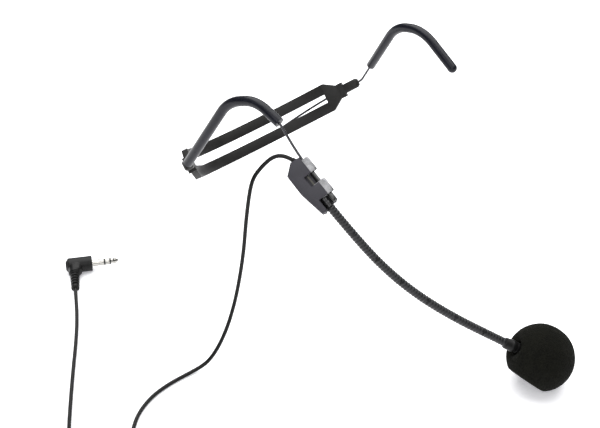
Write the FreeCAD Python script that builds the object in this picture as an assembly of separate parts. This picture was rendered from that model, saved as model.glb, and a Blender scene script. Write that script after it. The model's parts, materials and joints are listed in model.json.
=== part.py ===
"""Headset microphone: sprung wire headframe, rubber neck strap, clip-on boom with windscreen, and its lead.

Frame, as worn: +Z up, the wearer faces -Y, the boom is on the wearer's right (-X).
The origin lies on the wearer's mid-plane, between the places where the two ear hooks leave the neck strap.
Millimetres and degrees.
"""
import FreeCAD, Part
import math
import os

V = FreeCAD.Vector

# Sprung wire and ear hooks
WIRE_R = 0.6
WIRE_FIT = 0.05
EAR_TUBE_R = 2.4
RIGHT_BASE = V(-63.2, -2.8, 2.9)
LEFT_BASE = V(62.7, -3.5, 5.7)
RIGHT_ARCH = [V(-57.9, -29.7, 45.3), V(-55.5, -46.0, 50.7)]
LEFT_ARCH = [V(57.5, -30.6, 47.5), V(55.5, -49.6, 51.8)]
RIGHT_TUBE_END = V(-54.7, -59.8, 44.5)
LEFT_TIP = V(53.8, -71.1, 38.5)
TUBE_GAP = {"right": 1.5, "left": 14.2}
BASE_BEND_R = 4.0

# Neck strap, in its own plane, which slopes down behind the neck
STRAP_SLOPE = 39.0
STRAP_FLARE = 38.0
STRAP_STRAIGHT = 33.0
STRAP_WIDTH = 16.4
RIBBON_W = 5.8
RIBBON_T = 1.6
PLATE_T = 3.2
BOOT_START, BOOT_END = 1.9, 10.8
COLLAR_END = 13.8
TAPER_END = 21.0
WINDOW_START = 22.3
COLLAR_W = 8.4
BOOT_W = 5.2

# Boom holder: u runs down the wire, v leads away from it, w is the flat inner side's normal
GRIP_START = V(-54.1, -73.8, 30.6)
GRIP_DIR = V(0.055, -0.816, -0.575)
HOLDER_TURN = 51.0
SLEEVE_R = 1.1
SLEEVE_LENGTH = 20.5
END_CAP_R = 1.3
WIRE_OVERRUN = 21.8
SHELL_T = 2.5
SHELL_BEVEL = 0.5
CLIP_LENGTH = 6.9
CLIP_SHEET = 0.4
CLIP_STARTS = (-0.4, 11.6)
CLIP_REACH = 2.9

# Gooseneck and capsule
GOOSE_R = 2.0
GOOSE_BORE_R = 1.1
GOOSE_CORE_R = 0.8
GOOSE_SEGMENTS = 7
GOOSE_GAP = 0.6
SOCKET_OUT = 3.2
SOCKET_END = 23.5
GOOSE_ROUTE = [V(-52.3, -99.8, 6.5), V(-44.8, -113.2, -10.2), V(-35.5, -126.2, -24.1),
               V(-23.9, -139.8, -36.3), V(-11.5, -152.6, -46.8), V(-4.6, -159.6, -52.5)]
CAPSULE_DIR = V(0.64, -0.615, -0.46)
CAPSULE_R = 3.4
FOAM_R = 15.5
FOAM_CENTRE = 17.0
FOAM_BORE_R = 3.45

# Lead, lying on the surface below
SURFACE = -75.0
CABLE_R = 0.95
CABLE_ROUTE = [V(-58.2, -66.4, 32.1), V(-61.3, -62.3, 31.2), V(-65.8, -59.7, 26.8),
               V(-70.4, -58.3, 21.7), V(-72.7, -58.0, 12.0), V(-73.9, -57.0, -1.0),
               V(-75.3, -56.6, -15.0), V(-78.2, -56.6, -28.5), V(-82.2, -56.8, -41.5),
               V(-87.2, -56.6, -53.5), V(-92.4, -55.2, -64.0), V(-97.6, -52.8, -71.8),
               V(-105.4, -50.6, -74.0), V(-117.5, -49.4, -74.0), V(-130.2, -50.4, -74.0),
               V(-142.8, -55.8, -74.0), V(-152.8, -65.0, -74.0), V(-158.7, -74.6, -74.0)]
TAIL_ROUTE = [V(-183.1, -63.9, -68.3), V(-178.4, -55.0, -70.6), V(-169.6, -41.6, -73.4),
              V(-158.0, -26.2, -74.0), V(-145.3, -9.9, -74.0), V(-134.0, 4.2, -74.0),
              V(-124.3, 16.9, -73.9), V(-117.4, 26.7, -73.2), V(-112.2, 34.6, -71.8)]
COIL_CENTRE = V(-171.5, -70.1, SURFACE)
COIL_INNER_R, COIL_OUTER_R, COIL_HEIGHT = 8.3, 14.4, 7.8
TIE_ANGLE, TIE_W, TIE_T = 75.0, 4.0, 0.5

# Jack plug, flat on the surface
PLUG_CORNER = V(-97.0, 57.6, SURFACE)
PLUG_CABLE_DIR = V(-0.55, -0.835, 0)
PLUG_HEAD_R = 4.2
PLUG_HEAD_LENGTH = 9.6
PLUG_NECK_R = 2.7
PLUG_NECK_LENGTH = 7.6
PLUG_BOOT_LENGTH = 13.0
PIN_R = 1.75
PIN_LENGTH = 14.0


def unit(v):
    return v * (1.0 / v.Length)


GRIP_LINE = unit(GRIP_DIR)


class Axes:
    """A local frame: an origin and three directions, u, v and w = u x v."""

    def __init__(self, origin, u, v):
        self.origin, self.u = origin, unit(u)
        self.v = unit(v - self.u * v.dot(self.u))
        self.w = self.u.cross(self.v)

    def at(self, u, v, w=0.0):
        return self.origin + self.u * u + self.v * v + self.w * w

    def polygon(self, points, w):
        corners = [self.at(u, v, w) for u, v in points]
        return Part.makePolygon(corners + corners[:1])

    def prism(self, points, w0, w1):
        return Part.Face(self.polygon(points, w0)).extrude(self.w * (w1 - w0))

    def box(self, u0, u1, v0, v1, w0, w1):
        return self.prism([(u0, v0), (u1, v0), (u1, v1), (u0, v1)], w0, w1)


def rod(a, b, r):
    return Part.makeCylinder(r, (b - a).Length, a, b - a)


def ring(a, b, outer, inner):
    reach = unit(b - a) * 0.01
    return rod(a, b, outer).cut(rod(a - reach, b + reach, inner))


def rounded_path(points, name=None, radii=None):
    """Straight runs joined by tangent arcs, each as large as its runs allow or of its given radius."""
    edges, start, made = [], points[0], []
    for i in range(1, len(points) - 1):
        before, corner, after = points[i - 1], points[i], points[i + 1]
        a, b = unit(corner - before), unit(after - corner)
        half = a.getAngle(b) / 2
        shorter = min((corner - before).Length, (after - corner).Length)
        r = 0.45 * shorter / math.tan(half)
        if radii and i in radii:
            r = min(r, radii[i])
        reach = r * math.tan(half)
        centre = corner + unit(b - a) * (r / math.cos(half))
        middle = centre + unit(corner - centre) * r
        first, last = corner - a * reach, corner + b * reach
        edges.append(Part.LineSegment(start, first).toShape())
        edges.append(Part.Arc(first, middle, last).toShape())
        start = last
        made.append(r)
    edges.append(Part.LineSegment(start, points[-1]).toShape())
    if name:
        print(name, "radii:", " ".join(f"{r:.1f}" for r in made))
    return Part.Wire(edges)


def sweep(path, r):
    """A round rod along a path."""
    first = path.OrderedEdges[0]
    start, ahead = first.valueAt(first.FirstParameter), first.tangentAt(0)
    section = Part.Wire(Part.makeCircle(r, start, ahead))
    return path.makePipeShell([section], True, False)


def volume_check(name, solid, path, r):
    ratio = solid.Volume / (math.pi * r * r * path.Length)
    print(f"{name}: {path.Length:.1f} mm long, volume ratio {ratio:.3f}")


# Neck strap layout

LEFTWARDS = unit(LEFT_BASE - RIGHT_BASE)
BEHIND = V(0, math.cos(math.radians(STRAP_SLOPE)), -math.sin(math.radians(STRAP_SLOPE)))
STRAP = Axes((LEFT_BASE + RIGHT_BASE) * 0.5, LEFTWARDS, BEHIND)
HALF_SPAN = (LEFT_BASE - RIGHT_BASE).Length / 2
ARC_HALF = 90.0 - STRAP_FLARE
ARC_R = (HALF_SPAN - STRAP_STRAIGHT * math.sin(math.radians(STRAP_FLARE))) / math.sin(math.radians(ARC_HALF))
ARC_CENTRE = (STRAP_STRAIGHT * math.cos(math.radians(STRAP_FLARE))
              - ARC_R * math.cos(math.radians(ARC_HALF)))


def strap_end(side):
    """The straight end of the strap on one side: u runs in from the hook, v is the strap's width."""
    inward = -side * math.sin(math.radians(STRAP_FLARE))
    back = math.cos(math.radians(STRAP_FLARE))
    base = LEFT_BASE if side > 0 else RIGHT_BASE
    return Axes(base, STRAP.u * inward + STRAP.v * back, STRAP.w)


def arc_point(angle, offset, height):
    """A point of the strap's arc, offset outwards from its middle line."""
    a = math.radians(angle)
    return STRAP.at((ARC_R + offset) * math.sin(a), ARC_CENTRE + (ARC_R + offset) * math.cos(a), height)


def ribbon(low, high):
    """One ribbon of the strap, from plate to plate."""
    def edge_line(offset):
        ends = []
        for side in (-1, 1):
            end = strap_end(side)
            outward = end.u.cross(end.v) * side
            ends.append(end.at(WINDOW_START - 1.2, low) + outward * offset)
        corners = [arc_point(angle, offset, low) for angle in (-ARC_HALF, 0, ARC_HALF)]
        return ends, corners
    (inner_a, inner_b), inner = edge_line(-RIBBON_T / 2)
    (outer_a, outer_b), outer = edge_line(RIBBON_T / 2)
    outline = Part.Wire([
        Part.LineSegment(inner_a, inner[0]).toShape(), Part.Arc(*inner).toShape(),
        Part.LineSegment(inner[2], inner_b).toShape(), Part.LineSegment(inner_b, outer_b).toShape(),
        Part.LineSegment(outer_b, outer[2]).toShape(), Part.Arc(outer[2], outer[1], outer[0]).toShape(),
        Part.LineSegment(outer[0], outer_a).toShape(), Part.LineSegment(outer_a, inner_a).toShape()])
    return Part.Face(outline).extrude(STRAP.w * (high - low))


def strap_plate(side):
    """The thicker plate that the two ribbons run into."""
    wide, narrow = STRAP_WIDTH / 2, COLLAR_W / 2 - 0.6
    outline = [(COLLAR_END, -narrow), (TAPER_END, -wide), (WINDOW_START, -wide),
               (WINDOW_START, wide), (TAPER_END, wide), (COLLAR_END, narrow)]
    return strap_end(side).prism(outline, -PLATE_T / 2, PLATE_T / 2)


def neck_strap(channel):
    half, gap = STRAP_WIDTH / 2, STRAP_WIDTH / 2 - RIBBON_W
    strap = ribbon(gap, half).fuse([ribbon(-half, -gap), strap_plate(-1), strap_plate(1)])
    return strap.removeSplitter().cut(channel)


def strap_collar(side, channel):
    end = strap_end(side)
    half = COLLAR_W / 2
    return end.box(BOOT_END, COLLAR_END, -half, half, -2.1, 2.1).cut(channel)


def wire_boot(side, channel):
    """Chamfered eight-sided boot that the wire leaves the strap through."""
    end = strap_end(side)

    def section(u, half, corner):
        inner = half - corner
        points = [(-half, -inner), (-inner, -half), (inner, -half), (half, -inner),
                  (half, inner), (inner, half), (-inner, half), (-half, inner)]
        corners = [end.at(u, v, w * 0.86) for v, w in points]
        return Part.makePolygon(corners + corners[:1])
    full, tip = BOOT_W / 2, BOOT_W / 2 - 0.9
    body = Part.makeLoft([section(BOOT_END, full, 0.8), section(BOOT_START + 1.3, full, 0.8)], True, True)
    nose = Part.makeLoft([section(BOOT_START + 1.3, full, 0.8), section(BOOT_START, tip, 0.5)], True, True)
    return body.fuse(nose).removeSplitter().cut(channel)


# The one-piece sprung wire

def neck_points():
    """The wire behind the neck: out of one plate, outside the lower ribbon, and into the other plate."""
    step = 2 * ARC_HALF / 6
    stand_out = 1 / math.cos(math.radians(step / 2))
    points = [strap_end(-1).at(WINDOW_START, 0)]
    for angle, offset, drop in ((-2.5, 1.2, -1.5), (-1.5, 1.9, -3.7), (-0.5, 1.9, -4.8),
                                (0.5, 1.9, -4.8), (1.5, 1.9, -3.7), (2.5, 1.2, -1.5)):
        reach = (ARC_R + offset) * stand_out - ARC_R
        points.append(arc_point(angle * step, reach, drop))
    return points + [strap_end(1).at(WINDOW_START, 0)]


def wire_points(overrun=WIRE_OVERRUN, tip_short=0.6):
    bend = GRIP_START - GRIP_LINE * 2.5
    tip = LEFT_TIP - unit(LEFT_TIP - LEFT_ARCH[1]) * tip_short
    return ([GRIP_START + GRIP_LINE * overrun, bend, RIGHT_TUBE_END] + RIGHT_ARCH[::-1] + [RIGHT_BASE]
            + neck_points() + [LEFT_BASE] + LEFT_ARCH + [tip])


def wire_path(**ends):
    points = wire_points(**ends)
    bases = {i: BASE_BEND_R for i, p in enumerate(points) if p in (RIGHT_BASE, LEFT_BASE)}
    bases[2] = 14.0
    return rounded_path(points, radii=bases)


def ear_tube(side, base, arch, end, channel):
    gap = TUBE_GAP["left" if side > 0 else "right"]
    start = base + unit(arch[0] - base) * gap
    solid = sweep(rounded_path([start] + arch + [end]), EAR_TUBE_R)
    if side > 0:
        solid = solid.fuse(Part.makeSphere(EAR_TUBE_R, end)).removeSplitter()
    return solid.cut(channel)


# Boom holder

def holder_axes():
    sideways = unit(V(-1, 0, 0) - GRIP_LINE * V(-1, 0, 0).dot(GRIP_LINE))
    upwards = sideways.cross(GRIP_LINE)
    turn = math.radians(HOLDER_TURN)
    face = sideways * math.cos(turn) + (upwards if upwards.z > 0 else -upwards) * math.sin(turn)
    return Axes(GRIP_START, GRIP_LINE, GRIP_LINE.cross(face))


HOLDER = holder_axes()
SHELL_BACK = [(-2.0, 0.3), (-2.4, 4.9), (1.4, 9.6), (11.2, 9.7), (23.7, 7.7), (24.3, 6.2), (23.6, 5.15)]
OUTER_RAIL = [(18.4, 5.15), (18.4, 0.3), (11.9, 0.3), (11.9, 4.2), (6.5, 4.2), (6.5, 0.3)]
INNER_RAIL = [(22.9, 5.15), (22.9, -0.3), (22.2, -1.3), (18.6, -1.3), (18.6, 0.3)]
SHELL_OUTLINES = {-1: SHELL_BACK + OUTER_RAIL, 1: SHELL_BACK + INNER_RAIL}
RAIL_TONGUE_W = 1.75
CAVITY = [(1.6, 5.6), (2.8, 8.4), (11.0, 8.6), (21.4, 7.0), (21.4, 6.3), (14.4, 5.4)]
GROMMET_IN, GROMMET_OUT = (-0.61, 2.19), (-3.4, 3.3)
GROMMET_R = 1.3


def holder_shell(face_side):
    """Half of the holder, with a bevelled rim, a hollow middle and pockets for what it holds."""
    def layer(points, inset, face):
        wire = HOLDER.polygon(points, face * face_side)
        return Part.Face(wire).makeOffset2D(-inset, join=2).OuterWire if inset else wire
    side_wall = SHELL_T - SHELL_BEVEL
    outline = SHELL_OUTLINES[face_side]
    solid = Part.Face(layer(outline, 0, 0)).extrude(HOLDER.w * side_wall * face_side)
    bevel = Part.makeLoft([layer(outline, 0, side_wall), layer(outline, SHELL_BEVEL, SHELL_T)], True, True)
    solid = solid.fuse(bevel)
    hollow = HOLDER.prism(CAVITY, -1.5, 1.5)
    entry = rod(HOLDER.at(2.4, 6.0), HOLDER.at(-0.5, 2.3), 0.6)
    socket_hole = rod(HOLDER.at(14.6, SOCKET_OUT), HOLDER.at(18.5, SOCKET_OUT), 0.8)
    socket_room = HOLDER.box(18.4, 25.0, -3.0, 5.15, -RAIL_TONGUE_W, RAIL_TONGUE_W)
    wire_room = rod(HOLDER.at(-4.0, 0), HOLDER.at(19.0, 0), SLEEVE_R + 0.2)
    tools = [hollow, entry, cable_grommet(), spine(0.02), socket_hole, socket_room, wire_room]
    for tool in tools + [clip_pocket(u) for u in CLIP_STARTS]:
        solid = solid.cut(tool)
    return solid


def clip_pocket(start):
    return HOLDER.box(start - 0.02, start + CLIP_LENGTH + 0.02, -3.0, 3.2, -1.62, 1.62)


def wire_clip(start):
    """Folded sheet-metal clip: a square channel round the sleeve, both legs held between the shells."""
    end = start + CLIP_LENGTH
    outer = HOLDER.box(start, end, -CLIP_REACH, 3.1, -1.6, 1.6)
    inner_t = 1.6 - CLIP_SHEET
    inner = HOLDER.box(start - 0.1, end + 0.1, -CLIP_REACH + CLIP_SHEET, 3.2, -inner_t, inner_t)
    return outer.cut(inner)


def spine(grow=0.0):
    """Flat bar between the two clips, seen in the recess between them."""
    return HOLDER.box(CLIP_STARTS[0] + CLIP_LENGTH + 0.05 - grow, CLIP_STARTS[1] - 0.05 + grow,
                      2.2 - grow, 3.0 + grow, -0.5 - grow, 0.5 + grow)


def grip_sleeve(channel):
    body = rod(HOLDER.at(-0.6, 0), HOLDER.at(SLEEVE_LENGTH, 0), SLEEVE_R)
    cap = rod(HOLDER.at(19.4, 0), HOLDER.at(21.6, 0), END_CAP_R)
    return body.fuse([cap, Part.makeSphere(END_CAP_R, HOLDER.at(21.6, 0))]).removeSplitter().cut(channel)


def cable_grommet():
    return rod(HOLDER.at(*GROMMET_IN), HOLDER.at(*GROMMET_OUT), GROMMET_R)


def gooseneck_socket():
    """Plated ferrule that carries the gooseneck, with a collar and a stub pressed into the shells."""
    at = lambda along: HOLDER.at(along, SOCKET_OUT)
    stub = rod(at(14.7), at(18.8), 0.78)
    barrel = rod(at(18.7), at(SOCKET_END), 1.6)
    collar = rod(at(20.6), at(21.8), 1.7)
    return stub.fuse([barrel, collar]).removeSplitter()


def terminal_board():
    return HOLDER.box(4.4, 12.6, 6.0, 8.2, -0.4, 0.4)


def solder_pads():
    pads = [HOLDER.box(a, a + 1.4, 6.4, 7.8, 0.4, 0.6) for a in (5.0, 7.6, 10.2)]
    return Part.makeCompound(pads)


def cable_clamp():
    return HOLDER.box(2.8, 4.1, 5.8, 7.9, -1.3, 1.3)


# Gooseneck and capsule

def goose_path():
    route = [HOLDER.at(SOCKET_END, SOCKET_OUT)] + GOOSE_ROUTE
    return rounded_path(route, "gooseneck")


def point_and_tangent(path, distance):
    """The point this far along a path, and the direction there."""
    left = distance
    for edge in path.OrderedEdges:
        if left <= edge.Length or edge is path.OrderedEdges[-1]:
            where = edge.getParameterByLength(min(left, edge.Length))
            return edge.valueAt(where), edge.tangentAt(where)
        left -= edge.Length


def hinge_stations():
    path = goose_path()
    pitch = path.Length / GOOSE_SEGMENTS
    return [point_and_tangent(path, pitch * (k + 1)) for k in range(GOOSE_SEGMENTS - 1)]


def goose_segments():
    """The gooseneck's wound tube, cut into short stiff lengths with a bending gap between them."""
    path = goose_path()
    tube = sweep(path, GOOSE_R).cut(sweep(path, GOOSE_BORE_R))
    volume_check("gooseneck bore", sweep(path, GOOSE_BORE_R), path, GOOSE_BORE_R)
    gaps = []
    for point, ahead in hinge_stations():
        half = unit(ahead) * (GOOSE_GAP / 2)
        gaps.append(rod(point - half, point + half, GOOSE_R + 1.0))
    pieces = tube.cut(gaps).Solids
    start = HOLDER.at(SOCKET_END, SOCKET_OUT)
    pieces = sorted(pieces, key=lambda piece: (piece.CenterOfMass - start).Length)
    return [pieces[0].cut(gooseneck_socket())] + pieces[1:]


CAPSULE_AXIS = unit(CAPSULE_DIR)


def capsule_at(distance):
    return GOOSE_ROUTE[-1] + CAPSULE_AXIS * distance


def capsule_collar():
    step = rod(capsule_at(0.25), capsule_at(2.0), 2.9)
    return step.fuse(rod(capsule_at(1.9), capsule_at(5.6), 2.5)).removeSplitter()


def capsule_housing():
    """Thin cup around the capsule, closed at the boom end."""
    return rod(capsule_at(5.6), capsule_at(15.6), CAPSULE_R).cut(rod(capsule_at(6.4), capsule_at(15.7), 3.1))


def electret_capsule():
    return rod(capsule_at(10.4), capsule_at(14.9), 2.75)


def capsule_gasket():
    return ring(capsule_at(10.2), capsule_at(14.9), 3.08, 2.77)


def capsule_grille():
    """Perforated disc over the capsule."""
    disc = rod(capsule_at(15.0), capsule_at(15.5), 3.08)
    level = CAPSULE_AXIS.cross(V(0, 0, 1))
    across = Axes(capsule_at(14.9), level, level.cross(CAPSULE_AXIS))
    holes = []
    for count, reach in ((1, 0.0), (6, 1.5)):
        for k in range(count):
            a = 2 * math.pi * k / count
            foot = across.at(reach * math.cos(a), reach * math.sin(a))
            holes.append(rod(foot, foot + CAPSULE_AXIS * 0.8, 0.35))
    return disc.cut(holes)


def foam_windscreen():
    """Foam ball pushed over the capsule; its lowest part rests flat on the surface."""
    ball = Part.makeSphere(FOAM_R, capsule_at(FOAM_CENTRE))
    centre = capsule_at(FOAM_CENTRE)
    below = Part.makeBox(60, 60, 20, V(centre.x - 30, centre.y - 30, SURFACE - 20))
    return ball.cut([below, rod(capsule_at(-1.0), capsule_at(16.4), FOAM_BORE_R)])


# Lead and plug

def coil_solid():
    base = COIL_CENTRE
    coil = ring(base, base + V(0, 0, COIL_HEIGHT), COIL_OUTER_R, COIL_INNER_R)
    return coil.cut(tie_band(TIE_T + 0.01, 0.0))


def tie_band(outer, inner):
    """A band around the coil's section, between two clearances from the coil's outside."""
    a = math.radians(TIE_ANGLE)
    place = Axes(COIL_CENTRE, V(math.cos(a), math.sin(a), 0), V(-math.sin(a), math.cos(a), 0))
    low, high = COIL_INNER_R - 0.6 + TIE_T, COIL_OUTER_R + 0.6 - TIE_T
    outside = place.box(low - outer, high + outer, -TIE_W / 2, TIE_W / 2, 0, COIL_HEIGHT + 0.6)
    inside = place.box(low - inner, high + inner, -TIE_W, TIE_W, TIE_T, COIL_HEIGHT + 0.6 - TIE_T)
    return outside.cut(inside)


def cable_tubes(coil, tie):
    start = HOLDER.at(*GROMMET_OUT)
    run_path = rounded_path([start] + CABLE_ROUTE, "cable run")
    tail_path = rounded_path(TAIL_ROUTE + [plug_axes().at(PLUG_HEAD_R + 0.4 + PLUG_NECK_LENGTH
                                                          + PLUG_BOOT_LENGTH - 4.0, 0)], "cable tail")
    run, tail = sweep(run_path, CABLE_R), sweep(tail_path, CABLE_R)
    volume_check("cable run", run, run_path, CABLE_R)
    volume_check("cable tail", tail, tail_path, CABLE_R)
    return run.cut([coil, tie]), tail.cut([coil, tie])


def plug_axes():
    """u runs back along the cable, v along the pin."""
    corner = PLUG_CORNER + V(0, 0, PLUG_HEAD_R)
    return Axes(corner, PLUG_CABLE_DIR, PLUG_CABLE_DIR.cross(V(0, 0, 1)) * -1)


def jack_body():
    """Right-angle moulding: a fat head along the pin and a neck towards the cable."""
    p = plug_axes()
    head = rod(p.at(0, -4.6), p.at(0, PLUG_HEAD_LENGTH), PLUG_HEAD_R)
    neck = rod(p.at(0, 0), p.at(PLUG_HEAD_R + 0.4 + PLUG_NECK_LENGTH - 4.0, 0), PLUG_NECK_R)
    pin_hole = rod(p.at(0, PLUG_HEAD_LENGTH - 4), p.at(0, PLUG_HEAD_LENGTH), 1.2)
    return head.fuse(neck).removeSplitter().cut(pin_hole)


def jack_boot():
    """Ribbed strain relief: a tapered tube with raised rings."""
    p = plug_axes()
    start = PLUG_HEAD_R + 0.4 + PLUG_NECK_LENGTH - 4.0
    boot = Part.makeCone(2.45, 1.9, PLUG_BOOT_LENGTH, p.at(start, 0), p.u)
    rings = [rod(p.at(start + 1.6 + 2.6 * k, 0), p.at(start + 3.2 + 2.6 * k, 0), 2.5 - 0.1 * k)
             for k in range(4)]
    bore = rod(p.at(start - 1, 0), p.at(start + PLUG_BOOT_LENGTH + 1, 0), CABLE_R)
    return boot.fuse(rings).removeSplitter().cut(bore)


def jack_contacts():
    """Sleeve, ring and tip of the pin, with two insulators between them, on a common core."""
    p = plug_axes()
    face = PLUG_HEAD_LENGTH
    at = lambda d: p.at(0, face + d)
    parts = {"jack_core": rod(at(-3.9), at(11.6), 0.7)}
    spans = {"jack_sleeve": (0.0, 6.2, PIN_R), "jack_insulator_rear": (6.2, 7.0, PIN_R - 0.03),
             "jack_ring": (7.0, 9.2, PIN_R), "jack_insulator_front": (9.2, 10.0, PIN_R - 0.03)}
    for name, (start, end, r) in spans.items():
        parts[name] = ring(at(start), at(end), r, 0.72)
    neck = Part.makeCone(1.5, 1.15, 1.0, at(10.0), p.v)
    swell = Part.makeCone(1.15, 1.7, 0.8, at(11.0), p.v)
    point = Part.makeCone(1.7, 0.35, PIN_LENGTH - 11.8, at(11.8), p.v)
    tip = neck.fuse([swell, point]).removeSplitter()
    parts["jack_tip"] = tip.cut(rod(at(9.9), at(11.62), 0.72))
    return parts


def build():
    parts = {}
    parts["spring_wire"] = sweep(wire_path(), WIRE_R)
    channel = sweep(wire_path(overrun=WIRE_OVERRUN + 0.1, tip_short=0.3), WIRE_R + WIRE_FIT)
    volume_check("spring wire", parts["spring_wire"], wire_path(), WIRE_R)
    parts["right_ear_tube"] = ear_tube(-1, RIGHT_BASE, RIGHT_ARCH, RIGHT_TUBE_END, channel)
    parts["left_ear_tube"] = ear_tube(1, LEFT_BASE, LEFT_ARCH, LEFT_TIP, channel)
    parts["neck_strap"] = neck_strap(channel)
    for side, name in ((-1, "right"), (1, "left")):
        parts[name + "_strap_collar"] = strap_collar(side, channel)
        parts[name + "_wire_boot"] = wire_boot(side, channel)
    parts["grip_sleeve"] = grip_sleeve(channel)

    parts["holder_outer_shell"] = holder_shell(-1)
    parts["holder_inner_shell"] = holder_shell(1)
    parts["upper_wire_clip"] = wire_clip(CLIP_STARTS[0])
    parts["lower_wire_clip"] = wire_clip(CLIP_STARTS[1])
    parts["clip_spine"] = spine()
    parts["cable_grommet"] = cable_grommet()
    parts["cable_clamp"] = cable_clamp()
    parts["terminal_board"] = terminal_board()
    parts["solder_pads"] = solder_pads()
    parts["gooseneck_socket"] = gooseneck_socket()
    for k, piece in enumerate(goose_segments()):
        parts[f"gooseneck_{k + 1}"] = piece
    parts["gooseneck_core"] = sweep(goose_path(), GOOSE_CORE_R).cut(gooseneck_socket())

    parts["capsule_collar"] = capsule_collar()
    parts["capsule_housing"] = capsule_housing()
    parts["electret_capsule"] = electret_capsule()
    parts["capsule_gasket"] = capsule_gasket()
    parts["capsule_grille"] = capsule_grille()
    parts["foam_windscreen"] = foam_windscreen()

    parts["cable_tie"] = tie_band(TIE_T, 0.0)
    parts["cable_coil"] = coil_solid()
    parts["cable_run"], parts["cable_tail"] = cable_tubes(parts["cable_coil"], parts["cable_tie"])
    parts["jack_body"] = jack_body()
    parts["jack_boot"] = jack_boot()
    parts.update(jack_contacts())
    return parts


def main():
    os.makedirs("parts", exist_ok=True)
    for name, shape in build().items():
        print(f"{name}: {len(shape.Solids)} solid(s), {shape.Volume:.2f} mm3, valid {shape.isValid()}")
        shape.exportStep(f"parts/{name}.step")
    for k, (point, ahead) in enumerate(hinge_stations()):
        print(f"bend {k + 1} at", [round(c, 3) for c in point], "along", [round(c, 4) for c in unit(ahead)])
    print("holder axes", HOLDER.origin, HOLDER.u, HOLDER.v, HOLDER.w)
    print("plug pin", plug_axes().at(0, PLUG_HEAD_LENGTH), plug_axes().v)
    print("capsule", capsule_at(0), CAPSULE_AXIS)


main()
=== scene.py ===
# %% [markdown]
# # A headset microphone, made as by hand
# A light sprung wire goes round behind the neck and over both ears. Rubber covers it where it touches
# the wearer. A small holder clips to its free end, and carries a gooseneck with a foam ball.
# A thin lead leaves the holder and ends in a right-angle jack plug.
# The frame comes in finished and fixed. The cells below give each part its real surface and detail.

# %% Load the frame
import json
import math
import bpy
import bmesh
from mathutils import Matrix, Vector, noise


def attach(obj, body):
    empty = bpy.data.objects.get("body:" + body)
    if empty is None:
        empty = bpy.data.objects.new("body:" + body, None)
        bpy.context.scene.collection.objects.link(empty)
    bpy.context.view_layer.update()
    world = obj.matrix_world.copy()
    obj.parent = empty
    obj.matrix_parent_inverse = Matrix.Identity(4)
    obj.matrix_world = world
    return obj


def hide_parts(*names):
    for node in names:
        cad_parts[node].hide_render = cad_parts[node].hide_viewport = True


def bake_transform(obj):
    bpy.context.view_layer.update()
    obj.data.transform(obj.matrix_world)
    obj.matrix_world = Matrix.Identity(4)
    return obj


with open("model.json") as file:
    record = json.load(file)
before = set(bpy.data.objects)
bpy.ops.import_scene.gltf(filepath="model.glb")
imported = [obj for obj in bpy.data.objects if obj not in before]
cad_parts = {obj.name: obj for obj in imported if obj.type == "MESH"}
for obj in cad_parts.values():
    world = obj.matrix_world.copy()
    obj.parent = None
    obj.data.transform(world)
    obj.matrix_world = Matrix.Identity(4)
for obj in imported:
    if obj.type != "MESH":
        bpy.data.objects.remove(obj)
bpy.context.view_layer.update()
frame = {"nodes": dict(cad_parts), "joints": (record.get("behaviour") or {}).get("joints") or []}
nodes = frame["nodes"]

MM = 0.001
SURFACE = -75.0 * MM

# %% [markdown]
# ## The camera
# The object is small, so the camera stands about half a metre away with a moderately long lens,
# looking down from the front right. Its place is set first, because the lead's put-away coil has to
# lie just outside the view. The plain Standard transform keeps the surface white and the rubber black.

# %% Camera
bpy.ops.object.select_all(action="DESELECT")
bpy.ops.object.camera_add(location=(-0.3412, -0.3591, 0.2657),
                          rotation=(math.radians(57.0), 0.0, math.radians(-45.0)))
camera = bpy.context.object
camera.name = "camera"
camera.data.lens = 63.84
camera.data.sensor_width = 36.0
camera.data.clip_start, camera.data.clip_end = 0.01, 20.0
bpy.context.scene.camera = camera
bpy.context.scene.view_settings.view_transform = "Standard"

# %% [markdown]
# ## The lead
# A cable this thin is a curve with a round bevel. Its control points are few and given one by one, so that
# the smooth spline droops as a limp cable does: out of the holder, over, down in a long fall, and
# along the surface. The length that is not in use is wound in a small coil, in three lanes and four
# layers, and the tail runs back to the plug.

# %% Route of the lead
CABLE_R = 0.95 * MM
LEAD_START = (-56.85, -69.94, 30.78)
RUN_ROUTE = [(-58.2, -66.4, 32.1), (-61.3, -62.3, 31.2), (-65.8, -59.7, 26.8),
             (-70.4, -58.3, 21.7), (-72.7, -58.0, 12.0), (-73.9, -57.0, -1.0),
             (-75.3, -56.6, -15.0), (-78.2, -56.6, -28.5), (-82.2, -56.8, -41.5),
             (-87.2, -56.6, -53.5), (-92.4, -55.2, -64.0), (-97.6, -52.8, -71.8),
             (-105.4, -50.6, -74.0), (-117.5, -49.4, -74.0), (-130.2, -50.4, -74.0),
             (-142.8, -55.8, -74.0), (-152.8, -65.0, -74.0)]
TAIL_ROUTE = [(-178.4, -55.0, -70.6), (-169.6, -41.6, -73.4), (-158.0, -26.2, -74.0),
              (-145.3, -9.9, -74.0), (-134.0, 4.2, -74.0), (-124.3, 16.9, -73.9),
              (-117.4, 26.7, -73.2), (-112.2, 34.6, -71.8), (-108.7, 39.9, -70.8)]
COIL_CENTRE = (-171.5, -70.1)
LANES, LAYERS, LANE_PITCH = 3, 4, 1.93
OUTER_LANE = 13.35
COIL_ENTRY, COIL_SWEEP = -20.0, 11 * 360.0 + 188.0
POINTS_PER_TURN = 16
CROSS_FROM = 0.8
FIRST_LAYER = -74.0


def lane_of(turn):
    """Radius and height of a turn of the coil: lanes run inwards, then outwards, layer by layer."""
    turn = min(turn, LANES * LAYERS - 1)
    layer, lane = divmod(turn, LANES)
    if layer % 2:
        lane = LANES - 1 - lane
    return OUTER_LANE - LANE_PITCH * lane, FIRST_LAYER + LANE_PITCH * layer


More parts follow.
